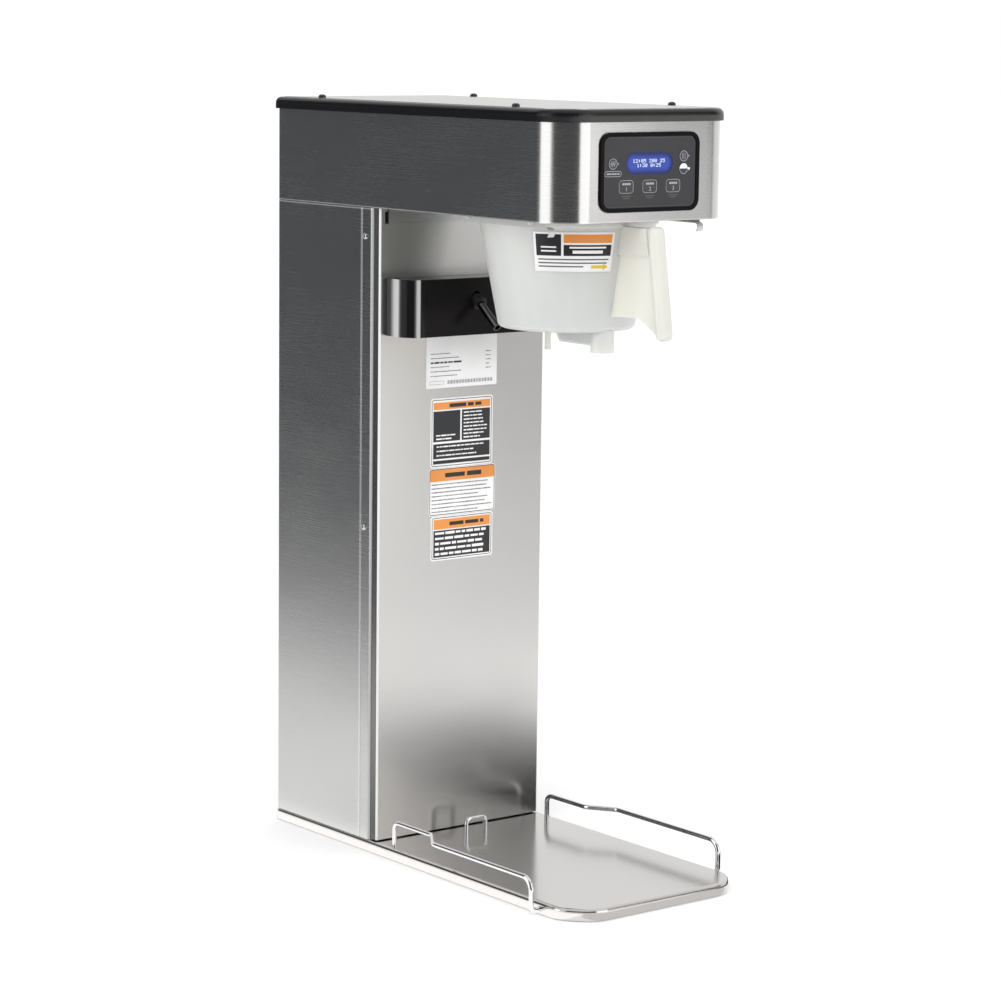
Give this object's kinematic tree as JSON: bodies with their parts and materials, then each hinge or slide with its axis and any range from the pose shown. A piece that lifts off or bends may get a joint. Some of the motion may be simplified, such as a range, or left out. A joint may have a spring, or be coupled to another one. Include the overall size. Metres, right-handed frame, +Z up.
{
  "type": "iced tea maker",
  "caption": "Countertop iced tea maker: stainless trunk and overhanging hood with key panel, slide-out brew funnel on rails, black dilution outlet, flat base with wire guides for a dispenser.",
  "frame": {"origin": "middle of the machine's footprint, from the base's front edge to the end of the water inlet, on the counter that the rubber feet stand on", "axes": "+Z up; +X to the right seen from the front; -Y is the front, where the hood, the funnel and the key panel face; +Y is the back with the water inlet"},
  "size_m": [0.2776, 0.591, 0.875],
  "materials": {
    "stainless": "brushed",
    "screw_steel": "polished",
    "wire": "polished",
    "tube_steel": "satin",
    "brass": "machined",
    "rubber": "matte",
    "hose": "satin",
    "black_gloss": "gloss",
    "rim_plastic": "satin",
    "membrane": "satin",
    "key": "satin",
    "display": "lit",
    "lamp": "clear",
    "board": "satin",
    "valve_plastic": "satin",
    "funnel_plastic": "translucent satin",
    "card": "printed"
  },
  "bodies": {
    "housing": {"base_tray": "stainless", "rubber_feet": "rubber", "left_guide": "wire", "right_guide": "wire", "stop_loop": "wire", "wire_clips": "wire", "corner_posts": "stainless", "trunk_cover": "stainless", "front_panel": "stainless", "trim_screws": "screw_steel", "dilution_cover": "black_gloss", "dilution_grommet": "rubber", "dilution_tube": "tube_steel", "hood_shell": "stainless", "hood_floor": "stainless", "top_rim": "rim_plastic", "top_plate": "stainless", "top_screws": "black_gloss", "control_bezel": "black_gloss", "control_panel": "membrane", "display_window": "display", "status_lamp": "lamp", "control_board": "board", "board_posts": "valve_plastic", "rail_left": "stainless", "rail_right": "stainless", "rail_screws": "screw_steel", "sprayhead": "rim_plastic", "brew_tube": "tube_steel", "hot_water_tank": "stainless", "tank_gasket": "rubber", "tank_lid": "stainless", "heating_element": "tube_steel", "temperature_probe": "tube_steel", "level_probe": "tube_steel", "limit_thermostat": "black_gloss", "tank_brackets": "stainless", "valve_shelf": "stainless", "inlet_valve": "valve_plastic", "brew_valve": "valve_plastic", "dilution_valve": "valve_plastic", "water_tubes": "tube_steel", "brew_feed_tube": "tube_steel", "dilution_hose": "hose", "water_inlet": "brass", "cord_bushing": "black_gloss", "switch_housing": "black_gloss", "data_plate": "card", "panel_cards": "card"},
    "funnel": {"brew_funnel": "funnel_plastic", "filter_support": "wire", "funnel_card": "card"},
    "brew_key_1_body": {"brew_key_1": "key"},
    "brew_key_2_body": {"brew_key_2": "key"},
    "brew_key_3_body": {"brew_key_3": "key"},
    "rinse_key_body": {"rinse_key": "key"},
    "upper_key_body": {"upper_key": "key"},
    "lower_key_body": {"lower_key": "key"},
    "rocker": {"switch_rocker": "black_gloss"}
  },
  "joints": [
    {"name": "funnel_slide", "type": "slide", "parent": "housing", "child": "funnel", "axis": [0, -1, 0], "range_m": [0, 0.21]},
    {"name": "brew_key_1_press", "type": "slide", "parent": "housing", "child": "brew_key_1_body", "axis": [0, 1, 0], "range_m": [0, 0.0005], "stiffness_N_per_m": 2000},
    {"name": "brew_key_2_press", "type": "slide", "parent": "housing", "child": "brew_key_2_body", "axis": [0, 1, 0], "range_m": [0, 0.0005], "stiffness_N_per_m": 2000},
    {"name": "brew_key_3_press", "type": "slide", "parent": "housing", "child": "brew_key_3_body", "axis": [0, 1, 0], "range_m": [0, 0.0005], "stiffness_N_per_m": 2000},
    {"name": "rinse_key_press", "type": "slide", "parent": "housing", "child": "rinse_key_body", "axis": [0, 1, 0], "range_m": [0, 0.0005], "stiffness_N_per_m": 2000},
    {"name": "upper_key_press", "type": "slide", "parent": "housing", "child": "upper_key_body", "axis": [0, 1, 0], "range_m": [0, 0.0005], "stiffness_N_per_m": 2000},
    {"name": "lower_key_press", "type": "slide", "parent": "housing", "child": "lower_key_body", "axis": [0, 1, 0], "range_m": [0, 0.0005], "stiffness_N_per_m": 2000},
    {"name": "switch_rock", "type": "hinge", "parent": "housing", "child": "rocker", "pos_m": [0, 0.279, 0.076], "axis": [1, 0, 0], "range_deg": [0, 24]}
  ]
}
